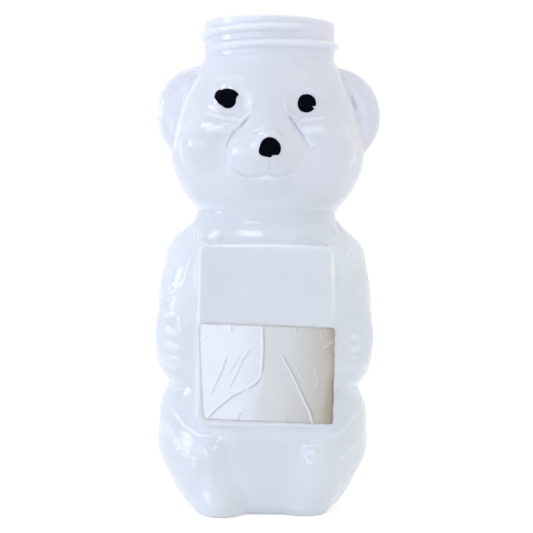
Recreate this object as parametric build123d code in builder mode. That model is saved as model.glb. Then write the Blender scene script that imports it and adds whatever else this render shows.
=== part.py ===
from build123d import *

import os
from math import cos, hypot, pi, sin

# Squeeze bottle for honey in the shape of a sitting bear, with flat label panels and a threaded neck.
# The bottle is one blow-moulded shell. The other pieces were put on it afterwards: a spot of black paint
# on each eye and on the nose, and a paper label on the front panel.
# Millimetres, +Z up. The origin is on the floor, on the axis of the neck, and the bear looks along -Y.

# Shell
wall = 1.1
floor_wall = 1.4

# Neck finish, a 38 mm neck with a 400 thread
neck_height = 10.6
neck_radius = 17.6
neck_bore_radius = 16.0
neck_ledge = 0.5
neck_foot_radius = 0.4
rim_edge_radius = 0.4
thread_height = 1.1
thread_pitch = 4.23
thread_turns = 1.25
thread_start_below_rim = 7.05
thread_start_angle = -110
thread_foot_width = 2.4
thread_crest_width = 0.8
thread_sink = 0.3

# Hips, from the floor to the fold above them
hip_height = 33.0
hip_half_width = 28.5
hip_front = 23.7
hip_back = 27.0

# Torso, from that fold to the fold under the chin
torso_height = 46.0
torso_half_width = 29.6
torso_front = 24.6
torso_back = 26.4

# Head, from the chin fold to the foot of the neck
head_height = 40.7
head_half_width = 26.0
head_front = 21.6
head_back = 23.0

# Levels
chin_level = hip_height + torso_height
neck_level = chin_level + head_height
rim_level = neck_level + neck_height

# Label panels, raised flats on the front and the back, from the hips to below the chin
panel_width = 36.8
panel_foot_level = 23.8
panel_below_chin = 8.6
panel_height = chin_level - panel_below_chin - panel_foot_level
panel_corner_radius = 3.6
panel_edge_radius = 1.6
panel_depth = 8.0
panel_rise = 0.9
front_panel_reach = torso_front + panel_rise
back_panel_reach = torso_back + panel_rise

# Ears, each with a shallow dish in its front
ear_inside_head = 8.4
ear_setback = 2.5
ear_below_neck = 13.4
ear_half_width = 12.9
ear_half_depth = 4.6
ear_half_height = 13.2
ear_spread = head_half_width - ear_inside_head
ear_level = neck_level - ear_below_neck
dish_beyond_ear = 5.0
dish_before_ear = 6.7
dish_below_ear = 0.3
dish_half_width = 6.4
dish_half_depth = 3.9
dish_half_height = 9.6

# Face, set from the front of the head and from the foot of the neck
muzzle_rise = 5.4
muzzle_below_neck = 25.7
muzzle_half_width = 11.2
muzzle_half_depth = 8.5
muzzle_half_height = 8.0
muzzle_reach = head_front + muzzle_rise
muzzle_level = neck_level - muzzle_below_neck
nose_rise = 1.0
nose_above_muzzle = 1.2
nose_radius = 5.4
nose_reach = muzzle_reach + nose_rise
nose_level = muzzle_level + nose_above_muzzle
bridge_rise = 1.6
bridge_below_neck = 16.2
bridge_half_width = 5.2
bridge_half_depth = 6.0
bridge_half_height = 11.0
bridge_reach = head_front + bridge_rise
cheek_spread = 14.5
cheek_set_in = 0.6
cheek_below_neck = 24.1
cheek_half_width = 8.6
cheek_half_depth = 7.5
cheek_half_height = 7.2
cheek_reach = head_front - cheek_set_in
eye_spread = 10.0
eye_below_neck = 12.5
eye_set_in = 1.8
eye_radius = 6.0
eye_reach = head_front - eye_set_in
eye_level = neck_level - eye_below_neck
socket_set_in = 0.2
socket_half_width = 7.0
socket_half_depth = 3.0
socket_half_height = 6.8

# Arms and paws, set from the side of the torso and from the chin
arm_inside_torso = 6.0
arm_before_axis = 8.0
arm_below_chin = 22.0
arm_half_width = 5.6
arm_half_depth = 11.4
arm_half_height = 16.5
arm_tilt = 8
paw_inside_torso = 6.8
paw_set_in = 3.8
paw_below_chin = 32.6
paw_half_width = 6.2
paw_half_depth = 6.6
paw_half_height = 6.6

# Legs, feet and tail, set from the hips
leg_inside_hip = 10.0
leg_before_axis = 9.0
leg_level = 16.4
leg_half_width = 8.2
leg_half_length = 16.2
leg_half_height = 8.8
leg_turn = 24
foot_spread = 13.0
foot_level = 7.0
foot_half_width = 5.8
foot_half_depth = 8.4
foot_half_height = 11.0
foot_reach = hip_front
tail_rise = 1.1
tail_level = 15.0
tail_radius = 5.0

# Base, hollowed a little so that it stands on its outer part
base_hollow_half_width = 10.5
base_hollow_half_depth = 12.5
base_hollow_rise = 1.0

# Paint
paint_thickness = 0.1
pupil_radius = 2.45
nose_paint_radius = 2.8

# Paper label, stuck on a little crooked
label_width = 34.2
label_height = 25.4
label_thickness = 0.15
label_corner_radius = 1.3
label_gap_below = 0.9
label_tilt = 1

# Construction
overrun = 2.0
outline_points = 24
cubic_mm_per_ml = 1000

# Each row is a cross-section: its height, half width, front and back as shares of the stretch's own sizes,
# and how square it is, where 2 is an ellipse.
hip_shares = [
    (0.000, 0.544, 0.781, 0.673, 2.3),
    (0.067, 0.744, 0.865, 0.808, 2.4),
    (0.167, 0.825, 0.886, 0.885, 2.5),
    (0.315, 0.909, 0.907, 0.962, 2.5),
    (0.464, 0.968, 0.928, 1.000, 2.5),
    (0.612, 1.000, 0.949, 1.000, 2.5),
    (0.758, 0.993, 0.970, 0.990, 2.5),
    (0.861, 0.972, 0.983, 0.970, 2.5),
    (0.939, 0.930, 0.992, 0.946, 2.5),
    (1.000, 0.898, 1.000, 0.923, 2.5),
]
torso_shares = [
    (0.043, 0.909, 0.976, 0.976, 2.6),
    (0.113, 0.966, 0.988, 0.992, 2.8),
    (0.217, 0.993, 0.996, 1.000, 3.0),
    (0.326, 1.000, 1.000, 1.000, 3.1),
    (0.467, 0.992, 1.000, 1.000, 3.1),
    (0.609, 0.966, 0.992, 0.992, 3.0),
    (0.717, 0.936, 0.976, 0.976, 2.8),
    (0.787, 0.895, 0.951, 0.952, 2.6),
    (0.859, 0.821, 0.894, 0.896, 2.4),
    (0.928, 0.693, 0.772, 0.780, 2.3),
    (0.965, 0.649, 0.724, 0.720, 2.2),
    (1.000, 0.632, 0.703, 0.700, 2.2),
]
head_shares = [
    (0.039, 0.746, 0.824, 0.826, 2.2),
    (0.120, 0.854, 0.898, 0.904, 2.2),
    (0.201, 0.927, 0.954, 0.945, 2.2),
    (0.319, 0.992, 0.986, 0.977, 2.2),
    (0.418, 1.000, 1.000, 1.000, 2.2),
    (0.575, 0.958, 0.991, 0.991, 2.2),
    (0.688, 0.908, 0.963, 0.963, 2.2),
    (0.786, 0.850, 0.926, 0.917, 2.1),
    (0.865, 0.796, 0.889, 0.881, 2.1),
    (0.941, 0.738, 0.852, 0.844, 2.0),
]


def rows_of(shares, foot, top, half_width, front, back):
    """Cross-sections in real sizes, each with its height, half width, front, back and squareness."""
    return [
        (foot + z * (top - foot), x * half_width, f * front, b * back, power)
        for z, x, f, b, power in shares
    ]


def inset_rows(rows, inset):
    """The same stretch further in, square to its own profile. Its two ends keep their height."""
    moved = []
    for k, (height, half_width, front, back, power) in enumerate(rows):
        below = rows[max(k - 1, 0)]
        above = rows[min(k + 1, len(rows) - 1)]
        rise = above[0] - below[0]
        spread = above[1] - below[1]
        length = hypot(rise, spread)
        at_end = k in (0, len(rows) - 1)
        inward = inset if at_end else inset * rise / length
        upward = 0 if at_end else inset * spread / length
        moved.append((height + upward, half_width - inward, front - inward, back - inward, power))
    return moved


hip_rows = rows_of(hip_shares, 0, hip_height, hip_half_width, hip_front, hip_back)
torso_rows = hip_rows[-1:] + rows_of(
    torso_shares, hip_height, chin_level, torso_half_width, torso_front, torso_back
)
head_rows = torso_rows[-1:] + rows_of(
    head_shares, chin_level, neck_level, head_half_width, head_front, head_back
)


def neck_row(radius):
    """The round cross-section that ends the head."""
    return (neck_level, radius, radius, radius, 2)


def section(row):
    """The sketch of one cross-section, squarer than an ellipse where its power is over 2."""
    height, half_width, front, back, power = row
    points = []
    for k in range(outline_points):
        angle = 2 * pi * k / outline_points
        depth = back if sin(angle) > 0 else front
        reach = (abs(cos(angle) / half_width) ** power + abs(sin(angle) / depth) ** power) ** (-1 / power)
        points.append(Vector(reach * cos(angle), reach * sin(angle)))
    steps = [k / outline_points for k in range(outline_points + 1)]
    with BuildSketch(Plane.XY.offset(height)) as sketch:
        with BuildLine():
            add(Edge.make_spline(points, periodic=True, parameters=steps))
        make_face()
    return sketch.sketch


def ellipsoid(centre, half_sizes, grow=0, turn=(0, 0, 0)):
    """A rounded form with its half sizes along X, Y and Z, all grown by the same amount."""
    ball = Sphere(1, mode=Mode.PRIVATE)
    form = scale(ball, by=tuple(half + grow for half in half_sizes), mode=Mode.PRIVATE)
    return Pos(*centre) * Rot(*turn) * form


def both_sides(pieces):
    """The pieces of the bear's left, at +X, and their mirror images on its right."""
    return pieces + [mirror(piece, about=Plane.YZ, mode=Mode.PRIVATE) for piece in pieces]


def trunk(inset, top_radius):
    """Hips, torso and head without limbs or face."""
    stretches = [
        inset_rows(hip_rows, inset),
        inset_rows(torso_rows, inset),
        inset_rows(head_rows + [neck_row(neck_radius)], inset)[:-1] + [neck_row(top_radius)],
    ]
    with BuildPart() as form:
        for rows in stretches:
            loft([section(row) for row in rows])
    return form.part


def ear(inset):
    """The bear's left ear, with the shallow dish in its front."""
    body = ellipsoid(
        (ear_spread, ear_setback, ear_level), (ear_half_width, ear_half_depth, ear_half_height), -inset
    )
    dish = ellipsoid(
        (ear_spread + dish_beyond_ear, ear_setback - dish_before_ear, ear_level - dish_below_ear),
        (dish_half_width, dish_half_depth, dish_half_height),
        inset,
    )
    with BuildPart() as form:
        add(body)
        add(dish, mode=Mode.SUBTRACT)
    return form.part


def cheek(inset):
    """The bear's left cheek."""
    return ellipsoid(
        (cheek_spread, cheek_half_depth - cheek_reach, neck_level - cheek_below_neck),
        (cheek_half_width, cheek_half_depth, cheek_half_height),
        -inset,
    )


def arm(inset):
    """The bear's left arm, which leans forward to its paw."""
    return ellipsoid(
        (torso_half_width - arm_inside_torso, -arm_before_axis, chin_level - arm_below_chin),
        (arm_half_width, arm_half_depth, arm_half_height),
        -inset,
        (-arm_tilt, 0, 0),
    )


def paw(inset):
    """The bear's left paw."""
    return ellipsoid(
        (
            torso_half_width - paw_inside_torso,
            paw_half_depth - (torso_front - paw_set_in),
            chin_level - paw_below_chin,
        ),
        (paw_half_width, paw_half_depth, paw_half_height),
        -inset,
    )


def leg(inset):
    """The bear's left leg, which runs forward and inward to its knee."""
    return ellipsoid(
        (hip_half_width - leg_inside_hip, -leg_before_axis, leg_level),
        (leg_half_width, leg_half_length, leg_half_height),
        -inset,
        (0, 0, -leg_turn),
    )


def foot(inset):
    """The bear's left foot, from its knee to the floor."""
    return ellipsoid(
        (foot_spread, foot_half_depth - foot_reach, foot_level),
        (foot_half_width, foot_half_depth, foot_half_height),
        -inset,
    )


def middle_forms(inset):
    """Muzzle, bridge, nose and tail, which lie on the bear's middle plane."""
    muzzle = ellipsoid(
        (0, muzzle_half_depth - muzzle_reach, muzzle_level),
        (muzzle_half_width, muzzle_half_depth, muzzle_half_height),
        -inset,
    )
    bridge = ellipsoid(
        (0, bridge_half_depth - bridge_reach, neck_level - bridge_below_neck),
        (bridge_half_width, bridge_half_depth, bridge_half_height),
        -inset,
    )
    nose = nose_ball(-inset)
    tail = ellipsoid((0, hip_back + tail_rise - tail_radius, tail_level), (tail_radius,) * 3, -inset)
    return [muzzle, bridge, nose, tail]


def nose_ball(grow):
    """The bulge of the nose on the muzzle."""
    return ellipsoid((0, nose_radius - nose_reach, nose_level), (nose_radius,) * 3, grow)


def socket(inset):
    """The hollow round the bear's left eye."""
    return ellipsoid(
        (eye_spread, socket_set_in - head_front, eye_level),
        (socket_half_width, socket_half_depth, socket_half_height),
        inset,
    )


def eyeball(grow):
    """The bulge of the bear's left eye in its socket."""
    return ellipsoid((eye_spread, eye_radius - eye_reach, eye_level), (eye_radius,) * 3, grow)


def panel(face, inset):
    """A label panel, with its face in the given plane, rounded at its corners and all round its face."""
    with BuildPart() as form:
        with BuildSketch(face.offset(-inset)):
            with Locations((0, panel_foot_level + panel_height / 2)):
                RectangleRounded(
                    panel_width - 2 * inset, panel_height - 2 * inset, panel_corner_radius - inset
                )
        extrude(amount=-panel_depth)
        front = form.faces().sort_by(Axis(face.origin, face.z_dir))[-1]
        fillet(front.edges(), panel_edge_radius - inset)
    return form.part


front_face = Plane.XZ.offset(front_panel_reach)
back_face = Plane((0, back_panel_reach, 0), x_dir=(-1, 0, 0), z_dir=(0, 1, 0))


def body(inset, top_radius, floor):
    """The bear up to its neck: its outer form, or its inside where the inset is the wall."""
    limbs = both_sides([ear(inset), cheek(inset), arm(inset), paw(inset), leg(inset), foot(inset)])
    panels = [panel(front_face, inset), panel(back_face, inset)]
    rise = ellipsoid((0, 0, 0), (base_hollow_half_width, base_hollow_half_depth, base_hollow_rise), floor)
    base_form = trunk(inset, top_radius)
    with BuildPart() as form:
        add(base_form)
        add(limbs + panels + middle_forms(inset))
        add(both_sides([socket(inset)]), mode=Mode.SUBTRACT)
        add(both_sides([eyeball(-inset)]))
        split(bisect_by=Plane.XY.offset(floor), keep=Keep.TOP)
        add(rise, mode=Mode.SUBTRACT)
    return form.part


def thread():
    """The bead that climbs round the neck: a trapezoid along a right-hand helix, sunk into the wall."""
    start_level = rim_level - thread_start_below_rim
    with BuildPart() as bead:
        with BuildLine(Plane.XY.offset(start_level)) as path:
            Helix(thread_pitch, thread_pitch * thread_turns, neck_radius)
        with BuildSketch(Plane.XZ):
            with BuildLine():
                Polyline(
                    (neck_radius - thread_sink, start_level - thread_foot_width / 2),
                    (neck_radius, start_level - thread_foot_width / 2),
                    (neck_radius + thread_height, start_level - thread_crest_width / 2),
                    (neck_radius + thread_height, start_level + thread_crest_width / 2),
                    (neck_radius, start_level + thread_foot_width / 2),
                    (neck_radius - thread_sink, start_level + thread_foot_width / 2),
                    close=True,
                )
            make_face()
        sweep(path=path.wires()[0], is_frenet=True)
    return Rot(0, 0, thread_start_angle) * bead.part


outside = body(0, neck_radius + neck_ledge, 0)
inside = body(wall, neck_bore_radius - neck_ledge, floor_wall)
bead = thread()

with BuildPart() as bottle_shell:
    add(outside)
    with BuildSketch(Plane.XY.offset(neck_level)):
        Circle(neck_radius)
    extrude(amount=neck_height)
    neck_circles = bottle_shell.edges().filter_by(GeomType.CIRCLE)
    fillet(neck_circles.filter_by_position(Axis.Z, neck_level, neck_level), neck_foot_radius)
    add(bead)
    add(inside, mode=Mode.SUBTRACT)
    with BuildSketch(Plane.XY.offset(neck_level - wall)):
        Circle(neck_bore_radius)
    extrude(amount=wall + neck_height, mode=Mode.SUBTRACT)
    rim = bottle_shell.faces().sort_by(Axis.Z)[-1]
    fillet(rim.edges(), rim_edge_radius)

with BuildPart() as left_eye_paint:
    with BuildSketch(Plane.XZ.offset(eye_reach + overrun)):
        with Locations((eye_spread, eye_level)):
            Circle(pupil_radius)
    extrude(amount=-(overrun + eye_radius))
    add(eyeball(paint_thickness), mode=Mode.INTERSECT)
    add(eyeball(0), mode=Mode.SUBTRACT)

with BuildPart() as right_eye_paint:
    mirror(left_eye_paint.part, about=Plane.YZ)

with BuildPart() as nose_paint:
    with BuildSketch(Plane.XZ.offset(nose_reach + overrun)):
        with Locations((0, nose_level)):
            Circle(nose_paint_radius)
    extrude(amount=-(overrun + nose_radius))
    add(nose_ball(paint_thickness), mode=Mode.INTERSECT)
    add(nose_ball(0), mode=Mode.SUBTRACT)

with BuildPart() as label:
    with BuildSketch(front_face):
        with Locations((0, panel_foot_level + label_gap_below + label_height / 2)):
            RectangleRounded(label_width, label_height, label_corner_radius, rotation=-label_tilt)
    extrude(amount=label_thickness)

bottle_shell.part.label = "bottle_shell"
left_eye_paint.part.label = "left_eye_paint"
right_eye_paint.part.label = "right_eye_paint"
nose_paint.part.label = "nose_paint"
label.part.label = "label"

os.makedirs("parts", exist_ok=True)
export_step(bottle_shell.part, "parts/bottle_shell.step")
export_step(left_eye_paint.part, "parts/left_eye_paint.step")
export_step(right_eye_paint.part, "parts/right_eye_paint.step")
export_step(nose_paint.part, "parts/nose_paint.step")
export_step(label.part, "parts/label.step")

bore_volume = pi * neck_bore_radius**2 * neck_height
capacity = (inside.volume + bore_volume) / cubic_mm_per_ml
print(f"Filled to the rim it holds about {capacity:.0f} ml")
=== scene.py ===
from math import atan2, cos, hypot, pi, radians, sin

import bmesh
import bpy
import numpy as np
from mathutils import Matrix, Vector


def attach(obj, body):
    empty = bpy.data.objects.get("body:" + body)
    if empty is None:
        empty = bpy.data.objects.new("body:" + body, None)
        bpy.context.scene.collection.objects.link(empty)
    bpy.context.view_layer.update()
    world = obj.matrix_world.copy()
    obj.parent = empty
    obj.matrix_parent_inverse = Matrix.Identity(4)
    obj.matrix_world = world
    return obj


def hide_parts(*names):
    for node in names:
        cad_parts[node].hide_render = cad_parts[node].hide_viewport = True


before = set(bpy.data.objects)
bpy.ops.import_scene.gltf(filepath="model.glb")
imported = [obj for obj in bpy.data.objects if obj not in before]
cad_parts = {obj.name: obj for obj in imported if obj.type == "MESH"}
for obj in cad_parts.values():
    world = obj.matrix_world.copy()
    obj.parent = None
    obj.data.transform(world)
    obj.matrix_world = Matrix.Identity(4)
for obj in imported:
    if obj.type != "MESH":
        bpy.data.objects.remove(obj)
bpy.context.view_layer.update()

# Lengths are in millimetres until a mesh is made, and METRES turns them into metres. X is to the
# right of the photograph, Y away from the camera and Z up, as in the solids.
METRES = 0.001

# Where the photograph was taken from: distance and height of the camera, its focal length in pixels of
# the 533 pixel frame, the row of its horizon, the column of the bottle's axis there, and how far the
# bottle leans to the right in the picture.
CAMERA_DISTANCE = 420.0
CAMERA_HEIGHT = 72.0
FOCAL_PIXELS = 1543.0
HORIZON_ROW = 238.6
AXIS_COLUMN = 265.6
LEAN = radians(1.05)
FRAME_PIXELS = 533.0

# Shell
WALL = 1.1
FLOOR_WALL = 1.4

# Level of the fold above the hips, and the neck finish. The neck is made of rings above JOIN_LEVEL.
FOLD_LEVEL = 33.0
NECK_LEVEL = 119.7
RIM_LEVEL = 130.3
NECK_RADIUS = 17.6
BORE_RADIUS = 16.0
RIM_EDGE = 0.4
JOIN_LEVEL = 120.6
THREAD_HEIGHT = 1.1
THREAD_PITCH = 4.23
THREAD_TURNS = 1.144
THREAD_START_LEVEL = 122.65
THREAD_START_ANGLE = -128.0
THREAD_HALF_FOOT = 1.35
THREAD_HALF_CREST = 0.25
THREAD_FADE = 20.0
RING_POINTS = 200
NECK_ROWS = 42
EDGE_ROWS = 5
BORE_ROWS = 9
RING_GAP = 0.2

# Label panels
PANEL_HALF_WIDTH = 17.3
PANEL_FOOT = 23.8
PANEL_TOP = 70.4
PANEL_CORNER = 2.2
PANEL_EDGE = 0.9
PANEL_ROOT = 12.0
PANEL_BLEND = 3.0
FRONT_PANEL = 25.2
BACK_PANEL = 27.3

# Cross-sections of the hips, the torso and the head: height, half width, front, back and squareness
HIP_ROWS = [
    (0.0, 19.0, 19.4, 19.4, 2.2),
    (2.2, 21.3, 20.6, 21.8, 2.35),
    (5.5, 23.5, 21.3, 23.9, 2.55),
    (10.4, 25.7, 21.8, 26.0, 2.6),
    (15.3, 27.2, 22.3, 27.0, 2.5),
    (20.2, 28.0, 22.8, 27.0, 2.5),
    (25.0, 28.1, 23.3, 26.7, 2.6),
    (28.4, 27.6, 23.7, 26.2, 2.7),
    (31.0, 26.5, 23.9, 25.5, 2.8),
    (33.0, 25.6, 24.0, 24.9, 2.8),
]
UPPER_ROWS = [
    (33.0, 25.6, 24.0, 24.9, 2.8),
    (35.0, 26.9, 24.3, 25.8, 2.9),
    (38.2, 28.4, 24.8, 26.2, 3.6),
    (43.0, 29.0, 25.1, 26.4, 4.1),
    (48.0, 28.9, 25.2, 26.4, 4.4),
    (54.5, 28.3, 25.2, 26.4, 4.4),
    (61.0, 27.4, 25.0, 26.2, 4.2),
    (66.0, 26.8, 24.6, 25.8, 3.6),
    (69.2, 26.5, 23.8, 25.1, 2.8),
    (72.5, 24.3, 22.0, 23.7, 2.4),
    (74.4, 22.0, 20.7, 22.0, 2.35),
    (75.9, 20.3, 20.0, 20.4, 2.3),
    (77.4, 19.2, 19.0, 19.0, 2.2),
    (79.0, 18.7, 18.4, 18.5, 2.2),
    (80.6, 19.4, 18.6, 19.0, 2.2),
    (83.9, 22.2, 19.4, 20.8, 2.2),
    (87.2, 24.1, 20.6, 21.7, 2.2),
    (92.0, 25.8, 21.3, 22.5, 2.2),
    (96.0, 26.0, 21.6, 23.0, 2.2),
    (102.4, 24.9, 21.4, 22.8, 2.2),
    (107.0, 23.6, 20.8, 22.1, 2.2),
    (111.0, 22.1, 20.0, 21.1, 2.1),
    (114.2, 20.7, 18.9, 20.3, 2.1),
    (117.3, 19.2, 17.9, 19.4, 2.0),
    (119.7, 18.0, 17.6, 18.0, 2.0),
]

# Paint and label
PAINT_HEIGHT = 0.09
PAINT_SUNK = 0.12
LABEL_THICKNESS = 0.13
LABEL_SUNK = 0.03

# The outer mesh starts coarse and is split where the surface bends and where fine relief lies
OUTER_STEP = 1.15
INNER_STEP = 1.9
BEND_SIZES = (0.75, 0.46, 0.37)
BEND_DEGREES = 15
RELIEF_SIZES = (0.8, 0.46, 0.35)
RELIEF_NEAR = 0.3
LAST_RELAX = 0.35
MESH_LOW = (-32.5, -30.5, -1.5)
MESH_HIGH = (32.5, 30.5, JOIN_LEVEL + 2)
MESH_PARTS = 40

# The step that slopes are taken over, the least steepness that points settle by, how near the cut a
# point counts as on it, beyond all lengths, and a length that only keeps from dividing by 0
NUDGE = 0.03
LEAST_STEEP = 0.05
RIM_NEAR = 0.03
FAR = 1e9
TINY = 1e-9


# Field of the bottle: a function of many points at once, below 0 inside and above 0 outside


def spline_table(rows, heights):
    """Values of the rows' columns at the given heights, on natural cubic splines through the rows."""
    rows = np.array(rows)
    z = rows[:, 0]
    gap = np.diff(z)
    count = len(z)
    system = np.zeros((count, count))
    right = np.zeros((count, rows.shape[1] - 1))
    system[0, 0] = system[-1, -1] = 1.0
    slopes = np.diff(rows[:, 1:], axis=0) / gap[:, None]
    for k in range(1, count - 1):
        system[k, k - 1] = gap[k - 1]
        system[k, k] = 2 * (gap[k - 1] + gap[k])
        system[k, k + 1] = gap[k]
        right[k] = 6 * (slopes[k] - slopes[k - 1])
    bend = np.linalg.solve(system, right)
    k = np.clip(np.searchsorted(z, heights) - 1, 0, count - 2)
    before = (heights - z[k])[:, None]
    after = (z[k + 1] - heights)[:, None]
    width = gap[k][:, None]
    low = rows[k, 1:] / width - bend[k] * width / 6
    high = rows[k + 1, 1:] / width - bend[k + 1] * width / 6
    return (bend[k] * after**3 + bend[k + 1] * before**3) / (6 * width) + low * after + high * before


TABLE_STEP = 0.1
TABLE_LEVELS = np.arange(0.0, NECK_LEVEL + TABLE_STEP / 2, TABLE_STEP)
FOLD_ENTRY = int(round(FOLD_LEVEL / TABLE_STEP))
TABLE = np.concatenate(
    [spline_table(HIP_ROWS, TABLE_LEVELS[:FOLD_ENTRY]), spline_table(UPPER_ROWS, TABLE_LEVELS[FOLD_ENTRY:])]
)


def section_reach(x, y, z):
    """How far out each point is, as a share of the trunk's cross-section at its height."""
    half_width, front, back, power = (np.interp(z, TABLE_LEVELS, TABLE[:, k]) for k in range(4))
    depth = np.where(y < 0, front, back)
    return (np.abs(x / half_width) ** power + np.abs(y / depth) ** power) ** (1 / power)


def trunk(p):
    """Hips, torso and head without limbs or face."""
    x, y, z = p.T
    middle = section_reach(x, y, z)
    across = np.sqrt(x * x + y * y) + 1e-6
    outward = middle / across
    higher = section_reach(x, y, z + TABLE_STEP)
    lower = section_reach(x, y, z - TABLE_STEP)
    climb = (higher - lower) / (2 * TABLE_STEP)
    return (middle - 1) / np.sqrt(outward**2 + climb**2 + TINY)


def ellipsoid(p, centre, half, turn=None):
    """A rounded form. turn is a matrix that turns its axes."""
    q = p - np.array(centre)
    if turn is not None:
        q = q @ turn
    half = np.array(half)
    once = np.sqrt(((q / half) ** 2).sum(1))
    twice = np.sqrt(((q / half**2) ** 2).sum(1))
    return once * (once - 1) / np.maximum(twice, 1e-6)


def join(a, b, blend):
    """Both forms as one, with a soft inner corner."""
    near = np.maximum(blend - np.abs(a - b), 0) / blend
    return np.minimum(a, b) - near**3 * blend / 6


def carve(a, b, blend):
    """The first form without the second, with a soft edge."""
    return -join(-a, b, blend)


def rotation(axis, degrees):
    """The 3 by 3 matrix of a turn about X, Y or Z."""
    return np.array(Matrix.Rotation(radians(degrees), 3, axis))


def panel(x, out, z, reach):
    """A raised flat with rounded corners and edges. out is the direction that it faces."""
    middle = (PANEL_FOOT + PANEL_TOP) / 2
    across = np.abs(x) - PANEL_HALF_WIDTH + PANEL_CORNER
    along = np.abs(z - middle) - (PANEL_TOP - PANEL_FOOT) / 2 + PANEL_CORNER
    beyond = np.hypot(np.maximum(across, 0), np.maximum(along, 0))
    outline = beyond + np.minimum(np.maximum(across, along), 0) - PANEL_CORNER + PANEL_EDGE
    face = out - reach + PANEL_EDGE
    corner = np.hypot(np.maximum(outline, 0), np.maximum(face, 0))
    raised = corner + np.minimum(np.maximum(outline, face), 0) - PANEL_EDGE
    return np.maximum(raised, PANEL_ROOT - out)


EAR = ((17.6, 2.5, 105.7), (12.9, 4.6, 13.2))
EAR_DISH = ((22.6, -4.2, 106.0), (6.4, 3.9, 9.6))
EAR_BLEND = 1.6
WIDE_SNOUT = ((0, -18.6, 93.8), (11.3, 8.2, 7.6))
TALL_SNOUT = ((0, -18.4, 95.4), (8.8, 5.6, 11.8))
SNOUT_BLEND = 3.0
SNOUT_FADE = ((88, 97), (6.0, 1.0))
ARM_TURN = rotation("X", -8)
LEG_TURN = rotation("Z", -24) @ rotation("X", 4)
SHIN_TURN = rotation("Y", 14)
SHOULDER_BLEND = 0.8
NECK_ROOT = 6
NECK_BLEND = 0.9
FLOOR_BLEND = 1.8
BASE_HOLLOW = ((0, 0, 0), (9.5, 11.0, 1.0))
HOLLOW_BLEND = 0.8

# Rounded forms in the order in which they are joined: whether it is on both sides, centre, half
# sizes, turn, and the softness of the join, below 0 where it is carved out. The face has cheeks, eye
# sockets, eyes and the bridge of the nose. The rest are the nose's tip, arms, forearms, haunches,
# shins, the two toes and the tail.
FACE_FORMS = [
    (True, (14.4, -14.0, 96.0), (8.5, 7.3, 6.8), None, 4.4),
    (True, (10.2, -21.4, 107.2), (6.0, 2.8, 6.2), None, -1.4),
    (True, (10.0, -13.8, 107.2), (6.0, 6.0, 6.0), None, 0.8),
    (False, (0, -15.4, 103.0), (5.6, 6.2, 9.0), None, 4.0),
]
LIMB_FORMS = [
    (False, (0, -22.6, 95.2), (5.4, 5.4, 5.4), None, 0.9),
    (True, (22.5, -8.6, 54.8), (5.4, 11.2, 14.2), ARM_TURN, 2.4),
    (True, (22.5, -14.4, 46.4), (6.0, 6.6, 6.4), None, 2.2),
    (True, (18.2, -8.4, 16.8), (8.4, 16.2, 9.2), LEG_TURN, 2.4),
    (True, (13.4, -13.8, 8.6), (6.6, 8.6, 10.6), SHIN_TURN, 4.5),
    (False, (-10.4, -17.9, 2.0), (6.2, 8.4, 7.2), None, 5.0),
    (False, (11.0, -15.0, 2.0), (5.2, 5.8, 7.0), None, 5.5),
    (False, (0, 23.1, 15.0), (5.0, 5.0, 5.0), None, 1.6),
]


def with_forms(body, p, q, forms):
    """The body with each form joined to it or carved out of it. q is p brought over to one side."""
    for sided, centre, half, turn, blend in forms:
        other = ellipsoid(q if sided else p, centre, half, turn)
        body = join(body, other, blend) if blend > 0 else carve(body, other, -blend)
    return body


def form(p):
    """The bear without its fine relief."""
    x, y, z = p.T
    q = np.stack([np.abs(x), y, z], 1)
    ear = carve(ellipsoid(q, *EAR), ellipsoid(q, *EAR_DISH), EAR_BLEND)
    body = with_forms(join(trunk(p), ear, EAR_BLEND), p, q, FACE_FORMS)
    snout = join(ellipsoid(p, *WIDE_SNOUT), ellipsoid(p, *TALL_SNOUT), SNOUT_BLEND)
    body = join(body, snout, np.interp(z, *SNOUT_FADE))
    body = with_forms(body, p, q, LIMB_FORMS)
    body = join(body, panel(x, -y, z, FRONT_PANEL), PANEL_BLEND)
    body = join(body, panel(x, y, z, BACK_PANEL), PANEL_BLEND)
    body = carve(body, NECK_LEVEL - z, SHOULDER_BLEND)
    neck = np.maximum(np.hypot(x, y) - NECK_RADIUS, NECK_LEVEL - NECK_ROOT - z)
    body = carve(join(body, neck, NECK_BLEND), z, FLOOR_BLEND)
    return carve(body, ellipsoid(p, *BASE_HOLLOW), HOLLOW_BLEND)


# Fine relief of the mould, as lines over the front of the bear: the muzzle, the eyes, the arms, the
# shoulders and the legs. A line is a list of places in the photograph, and has a half width and a
# height, below 0 where it is a groove.


def photo_place(p):
    """The column and row of the photograph at which the camera sees each point."""
    x, y, z = p.T
    away = CAMERA_DISTANCE + y
    right = x * FOCAL_PIXELS / away
    up = (z - CAMERA_HEIGHT) * FOCAL_PIXELS / away
    column = AXIS_COLUMN + right * cos(LEAN) + up * sin(LEAN)
    row = HORIZON_ROW - up * cos(LEAN) + right * sin(LEAN)
    return column, row


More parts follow.
